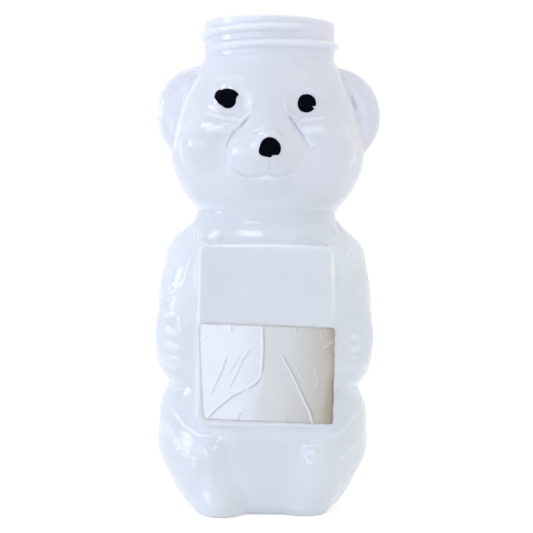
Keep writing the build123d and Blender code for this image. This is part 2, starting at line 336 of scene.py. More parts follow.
RELIEF = [
    ([(249, 116.4), (242, 124), (234, 131.4), (229, 138)], 0.45, -0.45),
    ([(232, 134), (228, 140), (225, 149), (224.6, 158), (226, 167)], 0.5, -0.2),
    ([(286, 113), (291, 120), (297, 128.6), (303, 136.4), (308, 145)], 0.5, -0.32),
    ([(231, 166), (239, 173.4), (249, 177.4), (259, 176.6), (267, 173.4)], 0.5, -0.26),
    ([(267, 173.4), (275, 177.2), (284, 176.2), (291, 172), (297, 166)], 0.5, -0.2),
    ([(269.6, 160), (269, 172)], 0.45, -0.28),
    ([(259, 179.8), (267, 178.4), (276, 180.4)], 0.8, 0.28),
    ([(252.4, 97), (250.4, 108), (246, 115), (240, 119), (232, 119.6), (221, 117), (216, 111)], 0.5, 0.2),
    ([(204.4, 113.6), (218.8, 115.8), (230, 121)], 0.5, 0.16),
    ([(298, 121.4), (310, 119.2), (326, 118.4)], 0.5, 0.2),
    ([(203, 129.8), (214, 128.6), (228, 129)], 1.1, 0.4),
    ([(302, 131), (313, 130), (325, 128.6)], 1.1, 0.4),
    ([(284, 98), (286, 108), (290, 115), (297, 119.4)], 0.5, 0.16),
    ([(350.8, 95), (353, 103), (355.6, 111)], 0.5, -0.2),
    ([(190, 257), (186.7, 268), (184.2, 278), (181.3, 288)], 0.45, 0.22),
    ([(167.5, 290), (171.7, 284)], 0.5, 0.22),
    ([(168.3, 295), (175.8, 290)], 0.5, 0.22),
    ([(165, 301), (172, 296.5)], 0.5, 0.16),
    ([(163, 317), (170, 314), (176, 315.6)], 0.9, 0.28),
    ([(162.6, 329), (170, 332.5), (178.6, 335)], 0.9, 0.28),
    ([(164, 342), (171, 346.5), (179.6, 349)], 0.9, 0.26),
    ([(178, 316), (178.6, 325), (180.4, 334)], 0.6, 0.2),
    ([(166, 356), (172, 359), (179, 358)], 0.6, 0.2),
    ([(167, 364), (171, 368), (176, 370)], 0.6, 0.2),
    ([(349, 250.6), (346.6, 257)], 0.5, 0.2),
    ([(354, 252.4), (351.6, 260)], 0.5, 0.2),
    ([(357, 262), (355, 268)], 0.5, 0.18),
    ([(350, 339), (355, 337), (360, 340)], 0.9, 0.28),
    ([(349, 349), (355, 349), (361, 346)], 0.9, 0.28),
    ([(351, 359), (357, 358)], 0.6, 0.2),
    ([(195, 229), (193.4, 241)], 0.4, 0.2),
    ([(199, 227.6), (197, 240)], 0.4, 0.2),
    ([(203, 229), (199, 238)], 0.4, 0.18),
    ([(337, 221), (343, 232)], 0.4, 0.2),
    ([(334, 226), (338, 236)], 0.4, 0.18),
    ([(171.7, 409), (175.8, 416), (182.5, 425), (191.7, 432), (201, 436), (208, 436),
      (215, 433.6)], 0.55, 0.42),
    ([(358, 410), (352, 420), (343, 430), (333, 436), (322, 437)], 0.6, 0.16),
    ([(211.6, 462), (218.4, 484), (226, 504)], 0.9, -0.16),
    ([(213.4, 450), (217.4, 446.4)], 0.4, 0.3),
    ([(215.6, 443.6), (220.4, 437.6), (225, 440.4)], 0.36, 0.3),
    ([(204.8, 451), (206.6, 457)], 0.5, 0.35),
    ([(302.6, 447), (308, 445.2), (313.4, 446.6)], 0.42, 0.3),
    ([(306.4, 453.8), (311, 452), (315, 453.4)], 0.42, 0.3),
    ([(304.4, 457.6), (308.6, 463.6), (313, 463)], 0.42, 0.28),
    ([(316, 446), (318, 455)], 0.7, -0.2),
]


def ticks(line, count, lean, length, half_width, height, seed):
    """Short strokes of fur along a line, each leaning the same way, a little uneven."""
    shuffle = np.random.default_rng(seed)
    line = np.array(line, float)
    steps = np.concatenate([[0], np.cumsum(np.hypot(*np.diff(line, axis=0).T))])
    strokes = []
    for k in range(count):
        along = (k + 0.5 + shuffle.uniform(-0.2, 0.2)) / count * steps[-1]
        foot = np.array([np.interp(along, steps, line[:, 0]), np.interp(along, steps, line[:, 1])])
        turn = radians(lean + shuffle.uniform(-4, 4))
        reach = length * shuffle.uniform(0.75, 1.15)
        tip = foot + reach * np.array([cos(turn), -sin(turn)])
        strokes.append(([tuple(foot), tuple(tip)], half_width, height * shuffle.uniform(0.7, 1.1)))
    return strokes


# Relief on both sides, faint where the side begins: lines given by depth and height in millimetres
SIDE_START = 20.0
SIDE_CLIMB = 4
SIDE_LINES = [
    ([(4, 74), (9, 64), (9.8, 53), (8.6, 44), (3.6, 35.6)], 2.8, -0.4),
    ([(0, 30), (6.6, 27), (9.8, 20.4), (9.4, 11), (3.6, 3)], 2.8, -0.4),
    ([(-18, 57), (-12, 54), (-5, 54)], 1.4, -0.35),
    ([(3, 61), (1, 55)], 1.0, 0.25),
    ([(5.6, 54), (3.4, 48.6)], 1.0, 0.25),
    ([(0.6, 50), (-1.4, 44.6)], 1.0, 0.25),
    ([(3, 24.6), (5, 20)], 1.0, 0.2),
    ([(-1.4, 20), (0.4, 15)], 1.0, 0.2),
]
RELIEF += (
    ticks([(215, 82.6), (222, 80.6), (230, 79.8), (238, 79.8), (243, 82.4)], 12, 98, 5.8, 0.22, 0.2, 1)
    + ticks([(290, 85), (298, 80), (308, 78), (316, 81)], 9, 78, 5.4, 0.25, 0.1, 2)
    + ticks([(167, 420), (172, 431), (180, 443), (189, 452), (196, 459)], 7, 258, 11.0, 0.8, 0.34, 3)
    + ticks([(362, 424), (356, 436), (348, 447), (339, 456)], 7, 285, 9.0, 0.7, 0.14, 4)
)

# How far a line of relief spreads, as a share of its half width, its height at its ends, the length
# over which it fades there, and the least and the usual size of a photographed pixel on the bear
SPREAD = 1.6
END_HEIGHT = 0.25
END_FADE = 0.25
LEAST_PIXEL = 0.25
RELIEF_PIXEL = 0.262


def line_distance(column, row, line):
    """Each place's distance in pixels from a line, and its share of the way along it."""
    best = np.full(len(column), FAR)
    share = np.zeros(len(column))
    lengths = [hypot(b[0] - a[0], b[1] - a[1]) for a, b in zip(line, line[1:])]
    walked = 0.0
    for (ax, ay), (bx, by), length in zip(line, line[1:], lengths):
        t = np.clip(((column - ax) * (bx - ax) + (row - ay) * (by - ay)) / length**2, 0, 1)
        off = np.hypot(column - ax - t * (bx - ax), row - ay - t * (by - ay))
        closer = off < best
        best = np.where(closer, off, best)
        share = np.where(closer, (walked + t * length) / sum(lengths), share)
        walked += length
    return best, share


def fade_in(share, part):
    """0 at both ends of a line and 1 between, climbing over a part of its length."""
    return np.clip(np.minimum(share, 1 - share) / part, 0, 1)


def smooth(t):
    """From 0 to 1 as t goes, with a level start and end."""
    return t * t * (3 - 2 * t)


def rounded(away, half_width):
    """The shape of a line of relief across its width."""
    return np.maximum(1 - (away / (SPREAD * half_width)) ** 2, 0) ** 2


def relief(p):
    """Height of the fine relief at each point."""
    height = side_relief(p)
    front = np.flatnonzero(p[:, 1] < 0)
    column, row = photo_place(p[front])
    pixel = (CAMERA_DISTANCE + p[front, 1]) / FOCAL_PIXELS
    for line, half_width, peak in RELIEF:
        reach = 2 * half_width / LEAST_PIXEL
        low = np.min(line, 0) - reach
        high = np.max(line, 0) + reach
        near = np.flatnonzero((column > low[0]) & (column < high[0]) & (row > low[1]) & (row < high[1]))
        if len(near):
            away, share = line_distance(column[near], row[near], line)
            ends = END_HEIGHT + (1 - END_HEIGHT) * smooth(fade_in(share, END_FADE))
            height[front[near]] += peak * rounded(away * pixel[near], half_width) * ends
    return height


def side_relief(p):
    """Height of the relief on both sides."""
    height = np.zeros(len(p))
    side = np.flatnonzero(np.abs(p[:, 0]) > SIDE_START)
    outward = np.clip((np.abs(p[side, 0]) - SIDE_START) / SIDE_CLIMB, 0, 1)
    for line, half_width, peak in SIDE_LINES:
        away, share = line_distance(p[side, 1], p[side, 2], line)
        height[side] += peak * rounded(away, half_width) * outward * smooth(fade_in(share, END_FADE))
    return height


def relief_nearness(p):
    """How near each point is to a line of relief, in millimetres beyond its width."""
    nearest = np.full(len(p), FAR)
    front = np.flatnonzero(p[:, 1] < 0)
    column, row = photo_place(p[front])
    for line, half_width, peak in RELIEF:
        away = line_distance(column, row, line)[0] * RELIEF_PIXEL
        nearest[front] = np.minimum(nearest[front], away - SPREAD * half_width)
    return nearest


# Lines that are only coloured: painted highlights, lighter than the plastic, or, where the amount is below
# 0, painted shade, darker than it
LIGHT_AND_SHADE_LINES = [
    ([(200.6, 75), (194, 85), (188, 96), (183.4, 108), (179.6, 121), (176.4, 134), (174, 148),
      (174, 155)], 0.4, 0.9),
    ([(165, 84), (159, 97), (157.6, 112), (159.4, 126), (164, 139)], 0.4, 0.6),
    ([(198.6, 252), (198.2, 300), (198, 360), (199, 410)], 0.3, 0.5),
    ([(332.4, 252), (333, 290), (333.4, 322)], 0.35, 0.9),
    ([(212, 246.4), (240, 245.4), (275, 245), (307, 246)], 0.35, 0.7),
    ([(200, 419), (215, 424), (240, 427.4), (290, 429)], 0.4, 0.3),
    ([(350.8, 95), (353, 103), (355.6, 111)], 0.3, -0.45),
    ([(287.6, 57.6), (296, 63), (304, 66)], 0.4, -0.15),
    ([(337, 222), (343.4, 232.6)], 0.4, -0.45),
    ([(249, 116), (244, 122), (239, 128)], 0.4, -0.75),
    ([(239, 128), (232, 135), (227, 143), (225.4, 152), (225.4, 164)], 0.35, -0.25),
    ([(286.6, 113.6), (291, 120), (296, 127), (303.4, 136.6)], 0.35, -0.6),
    ([(231, 167), (239, 174), (249, 178)], 0.35, -0.25),
]
# Lines along which the plastic gets dark speckles, above the front panel's top, and their half widths
STIPPLE_LINES = [
    ([(205, 239), (214, 237.4), (223, 240)], 1.0),
    ([(298, 240), (311, 238), (327, 241.4)], 1.1),
]

# Behind these depths nothing is toned or stippled
TONE_BACK = 4
STIPPLE_BACK = -14.0
TONE_SPREAD = 0.9
TONE_END = 0.2

# Painted light: the plastic is painted lighter near another wall within reach, where folds would shade it,
# less where it faces up, and in the neck
FOLD_REACH = 6
FOLD_GAIN = 1.7
LEAST_UPRIGHT = 0.35
NECK_TONE = 0.35
NECK_TONE_START = 114
NECK_TONE_CLIMB = 8


def tones(p):
    """Painted shade in grooves, painted highlight on raised lines and bright edges, and dark speckle, at
    each point.
    """
    column, row = photo_place(p)
    pixel = (CAMERA_DISTANCE + p[:, 1]) / FOCAL_PIXELS
    front = p[:, 1] < TONE_BACK
    painted_crease_shade, painted_highlight, dark_speckle = np.zeros((3, len(p)))
    # Raised lines of relief get a painted highlight as well
    raised = [(line, width, peak) for line, width, peak in RELIEF if peak > 0]
    for line, half_width, amount in raised + LIGHT_AND_SHADE_LINES:
        away, share = line_distance(column, row, line)
        shape = np.exp(-((away * pixel / (TONE_SPREAD * half_width)) ** 2)) * front
        shape *= abs(amount) * (TONE_END + (1 - TONE_END) * fade_in(share, TONE_END))
        tone = painted_crease_shade if amount < 0 else painted_highlight
        np.maximum(tone, shape, out=tone)
    for line, half_width in STIPPLE_LINES:
        away = line_distance(column, row, line)[0] * pixel
        dark_speckle = np.maximum(dark_speckle, np.exp(-((away / half_width) ** 2)) * (p[:, 1] < STIPPLE_BACK))
    return painted_crease_shade, painted_highlight, dark_speckle


def fold_glow_paint(p, normals):
    """How much painted light each point gets: lighter in folds that would be shaded, and up in the neck."""
    folded = 1 - form(p + FOLD_REACH * normals) / FOLD_REACH
    neck = np.clip((p[:, 2] - NECK_TONE_START) / NECK_TONE_CLIMB, 0, 1)
    upright = np.clip(1 - normals[:, 2], LEAST_UPRIGHT, 1)
    return np.clip(np.maximum(FOLD_GAIN * folded * upright, NECK_TONE * neck), 0, 1)


def outer(p):
    """The bottle's outside, with its relief."""
    return form(p) - relief(p)


# The bore reaches a little into the hollow head, and joins it softly
BORE_ROOT = 3
BORE_BLEND = 2.4


def inner(p):
    """The bottle's inside, up into the bore of its neck."""
    x, y, z = p.T
    hollow = np.maximum(form(p) + WALL, FLOOR_WALL - z)
    hollow = np.maximum(hollow, z - NECK_LEVEL + WALL)
    return join(hollow, np.maximum(np.hypot(x, y) - BORE_RADIUS, NECK_LEVEL - BORE_ROOT - z), BORE_BLEND)


# Meshes from fields


def surface_net(field, low, high, step):
    """Points and triangles of the field's surface, one point to each cell that it crosses."""
    low = np.array(low, float)
    counts = [int((b - a) / step) + 2 for a, b in zip(low, high)]
    axes = [low[k] + step * np.arange(counts[k]) for k in range(3)]
    grid = np.stack(np.meshgrid(*axes, indexing="ij"), -1).reshape(-1, 3)
    values = np.concatenate([field(part) for part in np.array_split(grid, MESH_PARTS)]).reshape(counts)
    cells = tuple(n - 1 for n in counts)
    total = np.zeros(cells + (3,))
    hits = np.zeros(cells)
    rings = []
    for axis in range(3):
        side = [(axis + 1) % 3, (axis + 2) % 3]
        unit = np.eye(3, dtype=int)[axis]
        lower, upper = (np.take(values < 0, range(k, cells[axis] + k), axis) for k in (0, 1))
        start = np.argwhere(lower != upper)
        a = values[tuple(start.T)]
        b = values[tuple((start + unit).T)]
        crossing = start + (a / (a - b))[:, None] * unit
        ring = np.repeat(start[:, None], 4, 1)
        ring[:, :, side] += np.array([(0, 0), (-1, 0), (-1, -1), (0, -1)])
        whole = ((ring >= 0) & (ring < np.array(cells))).all(2)
        for k in range(4):
            cell = tuple(ring[whole[:, k], k].T)
            np.add.at(total, cell, crossing[whole[:, k]])
            np.add.at(hits, cell, 1)
        kept = whole.all(1)
        rings.append(np.where((a < 0)[kept, None, None], ring[kept], ring[kept][:, ::-1]))
    used = np.argwhere(hits > 0)
    number = np.full(cells, -1)
    number[tuple(used.T)] = np.arange(len(used))
    points = low + step * total[tuple(used.T)] / hits[tuple(used.T)][:, None]
    quads = number[tuple(np.moveaxis(np.concatenate(rings), -1, 0))]
    return points, np.concatenate([quads[:, [0, 1, 2]], quads[:, [0, 2, 3]]])


def gradient(field, p):
    """The field's slope at each point."""
    slope = np.empty_like(p)
    for axis in range(3):
        shift = np.zeros(3)
        shift[axis] = NUDGE
        slope[:, axis] = (field(p + shift) - field(p - shift)) / (2 * NUDGE)
    return slope


def settle(field, p, loose, times=2, most=0.5):
    """Moves the loose points onto the field's surface."""
    p = p.copy()
    for _ in range(times):
        q = p[loose]
        slope = gradient(field, q)
        steep = np.maximum((slope**2).sum(1), LEAST_STEEP)
        step = slope * (field(q) / steep)[:, None]
        length = np.linalg.norm(step, axis=1)
        step *= np.minimum(1, most / np.maximum(length, TINY))[:, None]
        p[loose] = q - step
    return p


def cut(points, triangles):
    """The mesh below the join level, cut on a plane."""
    mesh = bmesh.new()
    made = [mesh.verts.new(p) for p in points.tolist()]
    for triangle in triangles.tolist():
        mesh.faces.new([made[k] for k in triangle])
    bmesh.ops.bisect_plane(
        mesh,
        geom=mesh.verts[:] + mesh.edges[:] + mesh.faces[:],
        dist=0.02,
        plane_co=(0, 0, JOIN_LEVEL),
        plane_no=(0, 0, 1),
        clear_outer=True,
    )
    loose = [v for v in mesh.verts if not v.link_faces]
    bmesh.ops.delete(mesh, geom=loose, context="VERTS")
    bmesh.ops.triangulate(mesh, faces=mesh.faces[:])
    mesh.verts.index_update()
    points = np.array([v.co[:] for v in mesh.verts])
    triangles = np.array([[v.index for v in f.verts] for f in mesh.faces])
    mesh.free()
    return points, triangles


def snap_rim(points, radius):
    """Which points lie in the cut, after moving them onto its circle."""
    rim = np.abs(points[:, 2] - JOIN_LEVEL) < RIM_NEAR
    angle = np.arctan2(points[rim, 1], points[rim, 0])
    points[rim, 0] = radius * np.cos(angle)
    points[rim, 1] = radius * np.sin(angle)
    points[rim, 2] = JOIN_LEVEL
    return rim


def edges_of(triangles):
    """Each edge once, and for each triangle the numbers of its three edges."""
    sides = np.concatenate([triangles[:, [0, 1]], triangles[:, [1, 2]], triangles[:, [2, 0]]])
    edges, number = np.unique(np.sort(sides, axis=1), axis=0, return_inverse=True)
    return edges, number.reshape(3, -1).T


# The triangles that replace one whose first, first two or all three sides are split. Numbers 0 to 2
# are its corners and 3 to 5 the middles of its sides.
SPLITS = [
    [(0, 3, 2), (3, 1, 2)],
    [(3, 1, 4), (0, 3, 4), (0, 4, 2)],
    [(0, 3, 5), (3, 1, 4), (5, 4, 2), (3, 4, 5)],
]


def split(points, triangles, edges, number, chosen):
    """Splits the chosen edges in the middle, and each triangle to suit."""
    middle = np.full(len(edges), -1)
    middle[chosen] = len(points) + np.arange(chosen.sum())
    points = np.concatenate([points, points[edges[chosen]].mean(1)])
    marked = chosen[number]
    count = marked.sum(1)
    kept = [triangles[count == 0]]
    for k in range(3):
        turn = [(k + n) % 3 for n in range(3)]
        cases = [(count == 1) & marked[:, k], (count == 2) & ~marked[:, turn[2]], (count == 3) & (k == 0)]
        for case, pieces in zip(cases, SPLITS):
            corners = np.concatenate([triangles[case][:, turn], middle[number[case]][:, turn]], 1)
            kept += [corners[:, piece] for piece in pieces]
    return points, np.concatenate(kept)


def refine(field, points, triangles, radius, rounds):
    """Splits long edges round by round where the surface bends or has relief, and settles the points."""
    for bend_size, relief_size in zip(BEND_SIZES[:rounds], RELIEF_SIZES):
        edges, number = edges_of(triangles)
        normals = unit_rows(gradient(field, points))
        a, b = edges.T
        length = np.linalg.norm(points[a] - points[b], axis=1)
        turning = (normals[a] * normals[b]).sum(1)
        bent = (turning < cos(radians(BEND_DEGREES))) & (length > bend_size)
        near = relief_nearness((points[a] + points[b]) / 2) < RELIEF_NEAR
        chosen = bent | (near & (length > relief_size))
        points, triangles = split(points, triangles, edges, number, chosen)
        rim = snap_rim(points, radius)
        points = settle(field, points, ~rim)
    return points, triangles


def unit_rows(rows):
    """Each row scaled to length 1."""
    return rows / np.maximum(np.linalg.norm(rows, axis=1), TINY)[:, None]


def relax(field, points, triangles, rim, times, share=0.5):
    """Evens out the mesh along its surface."""
    edges = edges_of(triangles)[0]
    for _ in range(times):
        total = np.zeros_like(points)
        count = np.zeros(len(points))
        for a, b in (edges.T, edges.T[::-1]):
            np.add.at(total, a, points[b])
            np.add.at(count, a, 1)
        shift = (total / count[:, None] - points) * share
        shift[rim] = 0
        normals = unit_rows(gradient(field, points))
        shift -= normals * (shift * normals).sum(1)[:, None]
        points = settle(field, points + shift, ~rim, 1)
    return points


# Neck: rings of points from the bottle's outside over the rim and down the bore

RING_ANGLES = 2 * pi * np.arange(RING_POINTS) / RING_POINTS - pi


def thread_rise(angle, level):
    """How far the thread stands out of the neck at each angle, with ends that fade in."""
    rise = np.zeros_like(angle)
    fade = radians(THREAD_FADE)
    length = 2 * pi * THREAD_TURNS
    for lap in range(2):
        turned = angle - radians(THREAD_START_ANGLE) + 2 * pi * lap
        off = np.abs(level - THREAD_START_LEVEL - THREAD_PITCH * turned / (2 * pi))
        slope = np.clip((THREAD_HALF_FOOT - off) / (THREAD_HALF_FOOT - THREAD_HALF_CREST), 0, 1)
        ends = np.clip(np.minimum(turned + fade, length + fade - turned) / fade, 0, 1)
        rise = np.maximum(rise, THREAD_HEIGHT * smooth(slope) * np.sin(ends * pi / 2))
    return rise


def neck_rings():
    """Rings of points in order: up the outside, over the rim and down the bore."""
    top = RIM_LEVEL - RIM_EDGE
    foot = JOIN_LEVEL + RING_GAP
    rings = [(NECK_RADIUS + thread_rise(RING_ANGLES, z), z) for z in np.linspace(foot, top, NECK_ROWS)]
    for turn in np.linspace(0, pi / 2, EDGE_ROWS)[1:]:
        rings.append((NECK_RADIUS - RIM_EDGE * (1 - cos(turn)), top + RIM_EDGE * sin(turn)))
    for turn in np.linspace(pi / 2, 0, EDGE_ROWS):
        rings.append((BORE_RADIUS + RIM_EDGE * (1 - cos(turn)), top + RIM_EDGE * sin(turn)))
    rings += [(BORE_RADIUS, z) for z in np.linspace(top, foot, BORE_ROWS)[1:]]
    round_x = np.cos(RING_ANGLES)
    round_y = np.sin(RING_ANGLES)
    return [np.stack([r * round_x, r * round_y, np.full(RING_POINTS, z)], 1) for r, z in rings]


def lap_sums(angles):
    """The sum of each angle and the next one, once round, and no end after that."""
    around = angles + [angles[0] + 2 * pi]
    return [b + a for a, b in zip(around, around[1:])] + [FAR]


def zipper(lower, lower_angles, upper, upper_angles):
    """Triangles between two loops that climb in angle, facing outward when upper is above lower."""
    faces = []
    i = j = 0
    m, n = len(lower), len(upper)
    lower_sums, upper_sums = lap_sums(lower_angles), lap_sums(upper_angles)
    while i < m or j < n:
        if lower_sums[i] < upper_sums[j]:
            faces.append((lower[i], lower[(i + 1) % m], upper[j % n]))
            i += 1
        else:
            faces.append((lower[i % m], upper[(j + 1) % n], upper[j]))
            j += 1
    return np.array(faces)


def rim_loop(points, offset):
    """The numbers of the points in a mesh's cut in order of angle, and their angles."""
    rim = np.flatnonzero(np.abs(points[:, 2] - JOIN_LEVEL) < 1e-6)
    angle = np.arctan2(points[rim, 1], points[rim, 0])
    order = np.argsort(angle)
    return (rim[order] + offset).tolist(), angle[order].tolist()


def even_skin(field, step, radius):
    """Points and triangles of a field's surface up to the join level, evened out."""
    points, triangles = surface_net(field, MESH_LOW, MESH_HIGH, step)
    points = settle(field, points, np.ones(len(points), bool))
    points, triangles = cut(points, triangles)
    rim = snap_rim(points, radius)
    return relax(field, points, triangles, rim, 2), triangles


def build_shell():
    """Points, triangles and normals of the whole bottle, closed from its outside to its inside."""
    points, triangles = even_skin(outer, OUTER_STEP * (1), NECK_RADIUS)
    rounds = len(BEND_SIZES)
    points, triangles = refine(outer, points, triangles, NECK_RADIUS, rounds)
    rim = snap_rim(points, NECK_RADIUS)
    points = relax(outer, points, triangles, rim, 1, LAST_RELAX)
    inside_points, inside_triangles = even_skin(inner, INNER_STEP, BORE_RADIUS)
    normals = [unit_rows(gradient(outer, points)), -unit_rows(gradient(inner, inside_points))]

    rings = neck_rings()
    start = len(points) + len(inside_points)
    numbers = [start + RING_POINTS * k + np.arange(RING_POINTS) for k in range(len(rings))]
    faces = [triangles, inside_triangles[:, ::-1] + len(points)]
    for a, b in zip(numbers, numbers[1:]):
        c, d = np.roll(a, -1), np.roll(b, -1)
        faces += [np.stack([a, c, d], 1), np.stack([a, d, b], 1)]
    angles = RING_ANGLES.tolist()
    faces.append(zipper(*rim_loop(points, 0), numbers[0].tolist(), angles))
    faces.append(zipper(*rim_loop(inside_points, len(points)), numbers[-1].tolist(), angles)[:, ::-1])
    return np.concatenate([points, inside_points, *rings]), np.concatenate(faces), np.concatenate(normals)


def mesh_object(name, points, faces):
    """A smooth-shaded object from points in millimetres."""
    data = bpy.data.meshes.new(name)
    faces = faces.tolist() if isinstance(faces, np.ndarray) else faces
    data.from_pydata((np.asarray(points) * METRES).tolist(), [], faces)
    data.update()
    data.shade_smooth()
    made = bpy.data.objects.new(name, data)
    bpy.context.scene.collection.objects.link(made)
    return made


shell_points, shell_faces, body_normals = build_shell()
shell = mesh_object("bear_bottle_shell", shell_points, shell_faces)
vertex_normals = np.array([v.normal[:] for v in shell.data.vertices])
vertex_normals[: len(body_normals)] = body_normals
shell.data.normals_split_custom_set_from_vertices(vertex_normals.tolist())
shell_tones = tones(shell_points) + (fold_glow_paint(shell_points, vertex_normals),)


# Paint and label, laid on the shell where the photograph shows them. A ray from the camera walks to
# the shell in steps that are a share of its distance.
RAY_START = CAMERA_DISTANCE - 32.0
RAY_STEPS = 40
RAY_SHARE = 0.9
EYE = np.array([0, -CAMERA_DISTANCE, CAMERA_HEIGHT])

# The paint's outline has so many points and is ragged by so many pixels. Its rings lie at these shares
# of the way out.
FILM_POINTS = 96
FILM_RAGGED = 0.16
FILM_RAGS = 40
FILM_SWELL = 0.012
FILM_RINGS = np.array([0.12, 0.25, 0.4, 0.55, 0.7, 0.82, 0.9, 0.95, 0.985, 1.0])


def onto_shell(column, row):
    """The points of the shell that the camera sees at places of the photograph."""
    across = (column - AXIS_COLUMN) * cos(LEAN) + (row - HORIZON_ROW) * sin(LEAN)
    up = (column - AXIS_COLUMN) * sin(LEAN) - (row - HORIZON_ROW) * cos(LEAN)
    ray = np.stack([across / FOCAL_PIXELS, np.ones(len(across)), up / FOCAL_PIXELS], 1)
    away = np.full(len(across), RAY_START)
    for _ in range(RAY_STEPS):
        away += RAY_SHARE * form(EYE + ray * away[:, None])
    return EYE + ray * away[:, None]


def closed_loop(places, count):
    """A smooth closed line through a few places, as radii at even angles round its middle."""
    places = np.array(places, float)
    centre = places.mean(0)
    angle = np.arctan2(*(places - centre).T[::-1])
    radius = np.hypot(*(places - centre).T)
    even = np.linspace(-pi, pi, count, endpoint=False)
    reach = np.interp(even, angle, radius, period=2 * pi)
    reach = (np.roll(reach, 1) + 2 * reach + np.roll(reach, -1)) / 4
    return centre, even, reach


def paint_film(name, node, places, seed):
    """A closed film of paint whose outline passes through places of the photograph."""
    count = FILM_POINTS
    (x, y), angle, reach = closed_loop(places, count)
    shuffle = np.random.default_rng(seed)
    rags = shuffle.uniform(-FILM_RAGGED, FILM_RAGGED, FILM_RAGS)
    reach = reach + np.interp(angle, np.linspace(-pi, pi, FILM_RAGS), rags, period=2 * pi)
    column = np.concatenate([[x]] + [x + s * reach * np.cos(angle) for s in FILM_RINGS])
    row = np.concatenate([[y]] + [y + s * reach * np.sin(angle) for s in FILM_RINGS])
    points = onto_shell(column, row)
    normals = unit_rows(gradient(form, points))
    share = np.concatenate([[0.0], np.repeat(FILM_RINGS, count)])
    swell = FILM_SWELL * np.sin(points[:, 0] * 5.1 + 1.3 * points[:, 2]) * np.cos(points[:, 2] * 4.3 + 0.7)
    height = np.sqrt(np.maximum(1 - share**8, 0)) * (PAINT_HEIGHT + swell)
    top = points + normals * height[:, None]
    under = points - normals * PAINT_SUNK
    total = len(points)
    faces = []
    for k in range(count):
        after = (k + 1) % count
        faces += [(0, 1 + after, 1 + k), (total, total + 1 + k, total + 1 + after)]
        for a, b in zip(range(1 + k, total, count), range(1 + after, total, count)):
            if a + count < total:
                faces.append((a, b, b + count, a + count))
                faces.append((total + a, total + a + count, total + b + count, total + b))
            else:
                faces.append((a, b, total + b, total + a))
    made = mesh_object(name, np.concatenate([top, under]), faces)
    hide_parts(node)
    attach(made, "root")
    return made


LEFT_SPOT = [
    (214.2, 95.8), (215.3, 92.5), (218, 90.3), (221.7, 90), (225.3, 89), (230, 89.3), (234.2, 90.8),
    (237.2, 93.2), (238.7, 95.3), (237.8, 96.2), (235.6, 96.4), (235.4, 98.3), (235.5, 101.2),
    (234.7, 104.7), (232, 107.3), (228, 108.7), (224.2, 108), (221.3, 105.7), (219.8, 102.6),
    (218.4, 104), (217.2, 104), (217, 101.7), (215, 99.7), (213.8, 97.7),
]
RIGHT_SPOT = [
    (297, 104), (298, 99.2), (301, 95.6), (306, 94.4), (311, 95.6), (314.4, 99), (315.4, 103.6),
    (315, 106.8), (313.8, 109), (310.6, 106), (311.6, 110.8), (309, 112.2), (305.6, 112.8),
    (301, 111.6), (298, 108.6),
]
NOSE_SPOT = [
    (267.5, 137.2), (263.3, 139.2), (260.3, 143.3), (258.8, 148.3), (258.3, 152.8), (260, 155.3),
    (263.3, 156.2), (267, 157), (270.4, 157.4), (272, 155.4), (274.4, 155), (277, 155.4),
    (279.4, 153.3), (280.4, 150), (279.9, 145.3), (276.9, 140.7), (272.5, 137.7),
]

# The label: its grid, how far back it may lie, the size of a photographed pixel there, its width,
# height and corner radii in pixels, in how many steps its edges are ragged, and its sides and
# creases as places of the photograph
LABEL_GRID = (150, 200)
LABEL_BACK = -23.6
LABEL_PIXEL = 0.256
LABEL_WIDTH = 134
LABEL_HEIGHT = 96
CORNER_LEFT = 5.0
CORNER_RIGHT = 2.2
RAGS_DOWN = 26
RAGS_ACROSS = 34
LABEL_WAVE = 0.035
LABEL_DIP = -0.05
DARK_EDGE_WIDTH = 0.45
CREASE_FADE = 0.15
CREASE_POWER = 1.6
FOLD_PEAK = 0.34
SHADE_PEAK = 0.3
SHADE_SPREAD = 0.9
SHADE_OFFSET = 1.5
LABEL_LEFT = [(198.6, 323.4), (199.4, 350), (200.6, 385), (202.8, 419.4)]
LABEL_RIGHT = [(334.0, 328.2), (333.8, 350), (333.2, 385), (332.4, 424.6)]
LABEL_CREASES = [
    ([(261.5, 324), (262.2, 345), (261.5, 362), (260, 377)], 0.28, 0.34),
    ([(260, 377), (254, 384), (246, 389)], 0.3, 0.34),
    ([(246, 389), (230, 397), (214, 410), (205, 420)], 0.3, 0.32),
    ([(280, 354), (288, 368), (296, 384), (300, 396)], 0.26, 0.26),
    ([(298, 388), (304, 402), (309, 412), (313, 426)], 0.3, 0.36),
    ([(250, 348), (241, 360), (236, 372), (230, 384), (226, 390)], 0.22, 0.18),
    ([(226, 354), (220, 372), (213, 386), (209, 396)], 0.24, 0.2),
    ([(240, 352), (232, 366), (224, 378)], 0.2, 0.12),
    ([(292, 362), (299, 374), (304, 384)], 0.2, 0.12),
    ([(314, 366), (318, 384), (313, 392)], 0.2, 0.12),
    ([(322, 350), (329, 344), (334, 340)], 0.22, 0.16),
    ([(319, 332), (323, 340)], 0.2, 0.12),
    ([(230, 325), (229.6, 333)], 0.18, 0.2),
    ([(295, 327), (295, 333)], 0.18, 0.2),
    ([(216, 324), (217, 329)], 0.16, 0.12),
    ([(236, 422), (237, 416), (242, 410)], 0.2, 0.18),
    ([(284, 424), (284, 418)], 0.18, 0.18),
    ([(202, 341), (207, 334)], 0.18, 0.12),
    ([(199, 390), (207, 389)], 0.16, 0.1),
]

# The label's tint runs from its first column over so many columns, and between these rows it is drawn
# to the left by up to so many
TINT_COLUMN = 199
TINT_COLUMNS = 135
TINT_DRAWN = ((377, 424), (0, 10))


def corner_inset(from_end, radius):
    """How far a rounded corner draws its side in, at each distance from the end."""
    near = np.clip(radius - from_end, 0, radius)
    return radius - np.sqrt(np.maximum(radius**2 - near**2, 0))


def ragged(t, count, most, shuffle):
    """Small uneven steps along an edge."""
    return np.interp(t, np.linspace(0, 1, count), shuffle.uniform(-most, most, count))


